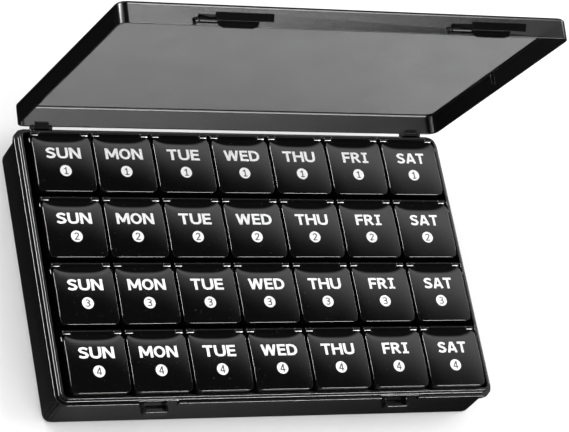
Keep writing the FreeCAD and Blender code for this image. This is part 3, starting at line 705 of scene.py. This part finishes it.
class DayLids(bpy.types.Operator):
    """The twenty-eight day lids with skirt, plug, barrel and pins"""
    bl_idname = "pills.day_lids"
    bl_label = "Day lids"

    def execute(self, context):
        look = context.scene.pill_lid
        black = plastic("day_lid_plastic", look.black, look.roughness, rub=0.25)
        low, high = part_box("lid_sun_1")
        box_low, box_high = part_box("box_sun_1")
        middle = (box_low + box_high) / 2
        half = Vector((high.x - middle.x, middle.y - low.y, 0))
        skirt = low.z + look.plug_deep
        pin = Vector(((box_high.y - box_low.y) / 2 - EAR_ROUND, skirt + 1.7 * MM))
        back = pin.x - 1.8 * MM
        tab = half.x - EAR_WIDTH - 0.5 * MM
        skin = lid_skin(look, half, back, high.z, skirt, black)
        work = bmesh.new()
        work.from_mesh(skin)
        barrel = 1.4 * MM
        short = 0.35 * MM
        plug_in = 1.75 * MM
        arc = [pin + barrel * Vector((math.cos(turn), math.sin(turn)))
               for turn in [math.radians(-90 + 180 * step / 12) for step in range(13)]]
        root = back - 1.0 * MM
        drop = look.drop_along * (pin.x / (half.y + ARCH_PAST)) ** 2 + look.back_fall
        under = 0.3 * MM
        section = [Vector((root, skirt + EDGE))] + arc + [Vector((root, high.z - drop - under))]
        centre = sum(section, Vector((0, 0))) / len(section)
        loops = []
        for x, inset in ((-tab, EDGE), (-tab + EDGE, 0), (tab - EDGE, 0), (tab, EDGE)):
            loops.append([Vector((x, *(spot - (spot - centre).normalized() * inset))) for spot in section])
        loft(work, loops)
        for side in (-1, 1):
            ends = sorted((side * (tab - EDGE), side * (half.x - short)))
            rod(work, *ends, context.scene.pill_box.pin, pin, steps=16)
        plug = half.x - plug_in
        plug_front, plug_back = plug_in - half.y, back - 1.2 * MM
        spot = (0.0, (plug_front + plug_back) / 2)
        deep = (plug_back - plug_front) / 2
        thick = 0.9 * MM
        foot, head = low.z, high.z - 1.9 * MM
        loft(work, [rounded(plug - inset, deep - inset, 1.0 * MM, 3, z, spot) for inset, z in
                    ((EDGE, foot), (0, foot + EDGE), (0, head), (thick, head), (thick, foot + EDGE),
                     (thick - EDGE, foot))], wrap=True)
        bmesh.ops.recalc_face_normals(work, faces=work.faces)
        whole = to_mesh(work, "day_lid")
        whole.set_sharp_from_angle(angle=CREASE)
        for day, week, place in places():
            name = "%s_%d" % (day, week)
            mesh = whole.copy()
            mesh.transform(Matrix.Translation(place))
            lid = new_piece("day_lid_" + name, mesh, black)
            evened = lid.modifiers.new("even_shading", "WEIGHTED_NORMAL")
            evened.weight = 80
            evened.keep_sharp = True
            stands_for(lid, "lid_" + name, "day_lid_black", "lid_" + name)
        return {"FINISHED"}


# printed words

# centre lines of each printed sign in cap heights: its width, then its strokes
SIGNS = {
    "S": (0.90, [[(0.83, 0.78), (0.64, 0.88), (0.44, 0.905), (0.25, 0.86), (0.16, 0.73),
                  (0.24, 0.60), (0.45, 0.52),
                  (0.67, 0.44), (0.77, 0.29), (0.67, 0.145), (0.45, 0.095), (0.24, 0.12), (0.06, 0.21)]]),
    "U": (1.04, [[(0.13, 1), (0.13, 0.38), (0.19, 0.20), (0.33, 0.11), (0.52, 0.095),
                  (0.71, 0.11), (0.85, 0.20),
                  (0.91, 0.38), (0.91, 1)]]),
    "N": (1.04, [[(0.12, 0), (0.12, 1)], [(0.14, 1), (0.90, 0)], [(0.92, 0), (0.92, 1)]]),
    "M": (1.25, [[(0.12, 0), (0.12, 1)], [(0.15, 1), (0.63, 0.2)], [(1.10, 1), (0.62, 0.2)],
                  [(1.13, 0), (1.13, 1)]]),
    "O": (1.10,
                  [[(0.55 + 0.42 * math.cos(math.tau * at / 20), 0.5 + 0.405 * math.sin(math.tau * at / 20))
                  for at in range(21)]]),
    "T": (0.90, [[(0, 0.905), (0.9, 0.905)], [(0.45, 0), (0.45, 0.9)]]),
    "E": (0.80, [[(0.13, 0), (0.13, 1)], [(0.1, 0.905), (0.79, 0.905)], [(0.1, 0.52), (0.75, 0.52)],
                 [(0.1, 0.095), (0.79, 0.095)]]),
    "W": (1.46, [[(0.13, 1), (0.40, 0)], [(0.40, 0), (0.73, 1)], [(0.73, 1), (1.06, 0)],
                  [(1.06, 0), (1.33, 1)]]),
    "D": (1.02, [[(0.13, 0), (0.13, 1)], [(0.1, 0.905), (0.42, 0.905), (0.68, 0.85), (0.84, 0.70),
                  (0.89, 0.5),
                                          (0.84, 0.30), (0.68, 0.15), (0.42, 0.095), (0.1, 0.095)]]),
    "H": (1.04, [[(0.13, 0), (0.13, 1)], [(0.1, 0.53), (0.9, 0.53)], [(0.91, 0), (0.91, 1)]]),
    "F": (0.80, [[(0.13, 0), (0.13, 1)], [(0.1, 0.905), (0.79, 0.905)], [(0.1, 0.49), (0.74, 0.49)]]),
    "R": (1.00, [[(0.13, 0), (0.13, 1)], [(0.42, 0.5), (0.87, 0)],
                 [(0.1, 0.905), (0.48, 0.905), (0.67, 0.85), (0.74, 0.71), (0.67, 0.56),
                  (0.48, 0.49), (0.1, 0.49)]]),
    "I": (0.66, [[(0.33, 0), (0.33, 1)], [(0.03, 0.92), (0.63, 0.92)], [(0.03, 0.08), (0.63, 0.08)]]),
    "A": (1.10, [[(0.13, 0), (0.50, 1)], [(0.97, 0), (0.60, 1)], [(0.25, 0.29), (0.85, 0.29)]]),
    "1": (0.62, [[(0.10, 0.72), (0.34, 0.90), (0.34, 0)], [(0.08, 0.075), (0.60, 0.075)]]),
    "2": (0.64, [[(0.08, 0.76), (0.17, 0.88), (0.33, 0.925), (0.50, 0.87), (0.56, 0.72),
                  (0.47, 0.52), (0.09, 0.08)],
                 [(0.02, 0.075), (0.62, 0.075)]]),
    "3": (0.62, [[(0.06, 0.86), (0.28, 0.925), (0.48, 0.86), (0.53, 0.72), (0.44, 0.57),
                  (0.22, 0.53), (0.46, 0.47),
                  (0.55, 0.29), (0.48, 0.14), (0.27, 0.075), (0.04, 0.14)]]),
    "4": (0.68, [[(0.48, 0), (0.48, 1)], [(0.46, 0.97), (0.06, 0.30)], [(0.03, 0.28), (0.68, 0.28)]]),
}


def stroke(work, points, pen, cell):
    """Flat ribbon along a centre line, cut level at foot and cap height and in short cells."""
    tiny, sharpest = 1e-9, 0.5
    fine = [Vector(points[0])]
    for before, after in zip(points, points[1:]):
        count = max(1, math.ceil((Vector(after) - Vector(before)).length / cell))
        fine += [Vector(before).lerp(Vector(after), step / count) for step in range(1, count + 1)]
    closed = (fine[0] - fine[-1]).length < 1e-6
    sides = []
    for at, spot in enumerate(fine):
        before = fine[at - 1] if at else fine[-2] if closed else spot
        after = fine[at + 1] if at + 1 < len(fine) else fine[1] if closed else spot
        ways = [Vector((-way.y, way.x)).normalized() for way in (spot - before, after - spot)
                if way.length > tiny]
        mean = sum(ways, Vector((0, 0))).normalized()
        reach = 1 / max(mean.dot(ways[0]), sharpest)
        shift = Vector((mean.x * pen[0], mean.y * pen[1])) * reach
        sides.append([Vector((end.x, min(max(end.y, 0), 1))) for end in (spot - shift, spot + shift)])
    rows = [[work.verts.new((*left, 0)), work.verts.new((*right, 0)), work.verts.new((*right, 1)),
             work.verts.new((*left, 1))] for left, right in sides]
    for low, high in zip(rows, rows[1:]):
        for at in range(4):
            work.faces.new((low[at], high[at], high[(at + 1) % 4], low[(at + 1) % 4]))
    work.faces.new(rows[0])
    work.faces.new(list(reversed(rows[-1])))


def lettering(text, height, width, pen, gap=0.1, cell=0.16):
    """Thin closed mesh of a word with its middle at the origin, at its printed size."""
    work = bmesh.new()
    start = 0.0
    for sign in text:
        wide, strokes = SIGNS[sign]
        for points in strokes:
            stroke(work, [(x + start, y) for x, y in points], pen, cell)
        start += wide + gap
    wide = start - gap
    bmesh.ops.recalc_face_normals(work, faces=work.faces)
    mesh = to_mesh(work, text, smooth=False)
    scale = width / wide if width else height
    mesh.transform(Matrix.Diagonal((scale, height, 1, 1)) @ Matrix.Translation((-wide / 2, -0.5, -0.5)))
    return mesh


class PrintedWords(bpy.types.Operator):
    """White weekday words and week discs with dark digits on the day lids"""
    bl_idname = "pills.printed_words"
    bl_label = "Printed words"

    def execute(self, context):
        look = context.scene.pill_print
        lid = context.scene.pill_lid
        white = ink("white_ink", look.white)
        dark = ink("dark_ink", (0.01, 0.01, 0.011, 1))
        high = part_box("lid_sun_1")[1]
        box_low, box_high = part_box("box_sun_1")
        reach = (box_high.y - box_low.y) / 2 + 0.8 * MM
        across = (box_high.x - box_low.x) / 2 + 0.2 * MM
        sunk = 0.05 * MM
        words = {day: lettering(day.upper(), look.cap_height, WORD_WIDTHS[day] * MM, look.bold)
                 for day in DAYS}
        digits = {week: lettering(str(week), look.digit_height, None, look.fine) for week in WEEKS}

        def laid(work, mesh, place, lift, index):
            """Lay a flat mesh on the crown."""
            first = len(work.verts)
            faces = len(work.faces)
            work.from_mesh(mesh)
            work.verts.ensure_lookup_table()
            work.faces.ensure_lookup_table()
            for vertex in work.verts[first:]:
                upper = vertex.co.z > 0
                x, y = vertex.co.x + place.x, vertex.co.y + place.y
                top = high.z - lid.drop_along * (y / reach) ** 2 - lid.drop_across * (x / across) ** 4
                vertex.co = Vector((x, y, top + (lift if upper else -sunk)))
            for face in work.faces[faces:]:
                face.material_index = index

        ring = bmesh.new()
        size = look.disc_radius
        loft(ring, [rounded(size, size, size, 12, z) for z in (-0.01 * MM, 0.01 * MM)])
        bmesh.ops.remove_doubles(ring, verts=ring.verts, dist=1e-7)
        disc = to_mesh(ring, "disc")
        for day, week, middle in places():
            work = bmesh.new()
            laid(work, words[day], Vector((0, look.word_back)), look.ink_thick, 0)
            laid(work, disc, Vector((0, -look.disc_ahead)), look.ink_thick, 0)
            laid(work, digits[week], Vector((0, -look.disc_ahead)), look.ink_thick * 2, 1)
            mesh = to_mesh(work, "print", smooth=False)
            mesh.transform(Matrix.Translation(middle))
            name = "%s_%d" % (day, week)
            printed = new_piece("print_" + name, mesh, white, dark)
            stands_for(printed, "lid_" + name, "day_lid_black")
        return {"FINISHED"}


# studio

class Studio(bpy.types.Operator):
    """Pale floor, soft light and the camera"""
    bl_idname = "pills.studio"
    bl_label = "Studio"

    def execute(self, context):
        look = context.scene.pill_stage
        scene = context.scene
        self.floor(look)
        self.surroundings(scene, look)
        self.lights(look)
        self.camera(scene)
        scene.view_settings.view_transform = "Standard"
        return {"FINISHED"}

    def floor(self, look):
        work = bmesh.new()
        reach = 6.0
        corners = ((-1, -1), (1, -1), (1, 1), (-1, 1))
        work.faces.new([work.verts.new((x * reach, y * reach, 0)) for x, y in corners])
        material = bpy.data.materials.new("pale_floor")
        material.use_nodes = True
        tree = material.node_tree
        shader = tree.nodes["Principled BSDF"]
        place = wire(tree, "ShaderNodeTexCoord").outputs["Object"]
        cloud = wire(tree, "ShaderNodeTexNoise", {"Vector": place, "Scale": 3.0}).outputs[0]
        shade = tuple(0.98 * part for part in look.floor[:3]) + (1,)
        tone = wire(tree, "ShaderNodeMix", {0: cloud, 6: look.floor, 7: shade}, data_type="RGBA").outputs[2]
        tree.links.new(tone, shader.inputs["Base Color"])
        shader.inputs["Roughness"].default_value = 0.9
        shader.inputs["Specular IOR Level"].default_value = 0.0
        # Painted reflection: to glossy rays the floor is dark beside the Sunday side of the case and
        # brightest in front of its Sunday end. It fades towards its Saturday side and towards the back,
        # which sets how bright the case walls look in their reflections.
        spot = wire(tree, "ShaderNodeSeparateXYZ", {0: place}).outputs
        left, right = CAD_BOX[0][0], CAD_BOX[1][0]
        front = ramp(tree, spot["Y"], CAD_BOX[0][1], 0.0, 1.0, 0.5, "LINEAR")
        beside = ramp(tree, spot["X"], left - 0.01, left + 0.02, 0.02, 0.24, "LINEAR")
        gloss_shade_fade = ramp(tree, spot["X"], left, right, 1.0, 0.09, "LINEAR")
        tint = sums(tree, "MULTIPLY", sums(tree, "MULTIPLY", beside, gloss_shade_fade), front)
        floor_gloss_painted_shade = wire(tree, "ShaderNodeBsdfDiffuse", {"Color": tint})
        glossy = wire(tree, "ShaderNodeLightPath").outputs["Is Glossy Ray"]
        mixed = wire(tree, "ShaderNodeMixShader", {0: glossy, 1: shader.outputs[0], 2: floor_gloss_painted_shade.outputs[0]})
        tree.links.new(mixed.outputs[0], tree.nodes["Material Output"].inputs["Surface"])
        new_piece("studio_floor", to_mesh(work, "studio_floor", smooth=False), material)

    def surroundings(self, scene, look):
        """Even light for plain faces, and for the gloss a dark ceiling, a pale back and white cards."""
        world = bpy.data.worlds.new("studio_air")
        scene.world = world
        world.use_nodes = True
        tree = world.node_tree
        back = tree.nodes["Background"]
        direction = wire(tree, "ShaderNodeTexCoord").outputs["Generated"]
        way = wire(tree, "ShaderNodeSeparateXYZ", {0: direction}).outputs
        ceiling = ramp(tree, way[2], 0.87, 0.76, 0.02)
        beside = ramp(tree, sums(tree, "SUBTRACT", way[0], way[1]), 0.32, 0.18)
        behind = sums(tree, "MULTIPLY", ramp(tree, sums(tree, "ADD", way[0], way[1]), 0.3, 0.6), beside)
        low_back = ramp(tree, way[2], 0.66, 0.745, 0.03)
        low_rest = ramp(tree, way[2], 0.66, 0.78, look.dusk)
        low_rest = sums(tree, "MULTIPLY_ADD", self.cards(tree, way), look.cards, low_rest)
        low = wire(tree, "ShaderNodeMix", {0: behind, 2: low_rest, 3: low_back}).outputs[0]
        mirrored = sums(tree, "MULTIPLY", sums(tree, "MULTIPLY", ceiling, low), look.sky)
        glossy = wire(tree, "ShaderNodeLightPath").outputs["Is Glossy Ray"]
        glow = wire(tree, "ShaderNodeMix", {0: glossy, 2: look.air, 3: mirrored}).outputs[0]
        tree.links.new(glow, back.inputs["Strength"])
        back.inputs["Color"].default_value = (1, 1, 1, 1)

    def cards(self, tree, way):
        """Narrow white cards low at the left, in front and at the right, which draw the edges."""
        middle, faint_at, full_at, fade = 0.41, 0.15, 0.09, 0.08
        total = 0.0
        # axis that the card stands along, where it begins and is full on it, brightness and top
        for axis, start, stop, bright, top in ((0, -0.35, -0.45, 1.0, 0.70), (1, -0.35, -0.45, 1.0, 0.58),
                                               (0, 0.60, 0.75, 0.3, 0.58)):
            off = sums(tree, "ABSOLUTE", sums(tree, "SUBTRACT", way[1 - axis], middle))
            card = sums(tree, "MULTIPLY", ramp(tree, off, faint_at, full_at),
                        ramp(tree, way[axis], start, stop, 0.0, bright))
            total = sums(tree, "MULTIPLY_ADD", card, ramp(tree, way[2], top, top - fade), total)
        return sums(tree, "MULTIPLY", total, ramp(tree, way[2], 0.16, 0.26))

    def lights(self, look):
        for name, spot, aim, size, power in (
                ("key_light", (1.1, 0.0, 1.2), (0, 0, 0), 0.9, look.key),
                ("back_light", (-0.7, 1.1, 0.9), (0, 0.1, 0.05), 0.7, look.key * 0.6),
                ("front_light", (0.3, -1.2, 0.8), (0, 0, 0), 0.9, look.key * 0.3)):
            lamp = bpy.data.lights.new(name, "AREA")
            lamp.shape = "SQUARE"
            lamp.size = size
            lamp.energy = power
            light = bpy.data.objects.new(name, lamp)
            light.location = spot
            light.rotation_euler = (Vector(aim) - Vector(spot)).to_track_quat("-Z", "Y").to_euler()
            light.visible_glossy = False
            bpy.context.scene.collection.objects.link(light)

    def camera(self, scene):
        """Long lens, turned as the photograph's view is."""
        focal_pixels, photo_width, film = 2838.12777, 569, 36
        azimuth, elevation, roll = (math.radians(turn) for turn in (-46.71468, 54.63466, 41.24640))
        forward = Vector((-math.sin(azimuth) * math.cos(elevation), math.cos(azimuth) * math.cos(elevation),
                          -math.sin(elevation)))
        level = forward.cross(Vector((0, 0, 1))).normalized()
        upright = level.cross(forward)
        right = level * math.cos(roll) + upright * math.sin(roll)
        above = upright * math.cos(roll) - level * math.sin(roll)
        turn = Matrix((right, above, -forward)).transposed()
        offset = Vector((-22.40667, 39.72155, 1413.41577)) * MM
        spot = -(right * offset.x - above * offset.y + forward * offset.z) - Vector((0, 5.78 * MM, 0))
        lens = bpy.data.cameras.new("photo_view")
        lens.sensor_width = film
        lens.lens = focal_pixels / photo_width * film
        lens.clip_start, lens.clip_end = 0.05, 20
        camera = bpy.data.objects.new("photo_view", lens)
        camera.matrix_world = Matrix.Translation(spot) @ turn.to_4x4()
        scene.collection.objects.link(camera)
        scene.camera = camera


# add-on

OPERATORS = (CaseTray, CaseLid, Latches, DayBoxes, DayLids, PrintedWords, Studio)
LOOKS = {"pill_case": CaseLook, "pill_box": BoxLook, "pill_lid": LidLook, "pill_print": PrintLook,
         "pill_stage": StageLook}


class PillPanel(bpy.types.Panel):
    """Lists the pieces of the pill organizer"""
    bl_idname = "VIEW3D_PT_pill_organizer"
    bl_label = "Pill organizer"
    bl_space_type = "VIEW_3D"
    bl_region_type = "UI"
    bl_category = "Pill organizer"

    def draw(self, context):
        for step in OPERATORS:
            self.layout.operator(step.bl_idname)
        for name, kind in LOOKS.items():
            column = self.layout.column()
            for key in kind.__annotations__:
                column.prop(getattr(context.scene, name), key)


def register():
    for kind in (*LOOKS.values(), *OPERATORS, PillPanel):
        bpy.utils.register_class(kind)
    for name, kind in LOOKS.items():
        setattr(bpy.types.Scene, name, PointerProperty(type=kind))


def unregister():
    for name in LOOKS:
        delattr(bpy.types.Scene, name)
    for kind in reversed((*LOOKS.values(), *OPERATORS, PillPanel)):
        bpy.utils.unregister_class(kind)


def main():
    register()
    bpy.ops.pills.case_tray()
    bpy.ops.pills.case_lid()
    bpy.ops.pills.latches()
    bpy.ops.pills.day_boxes()
    bpy.ops.pills.day_lids()
    bpy.ops.pills.printed_words()
    bpy.ops.pills.studio()


if __name__ == "__main__":
    main()
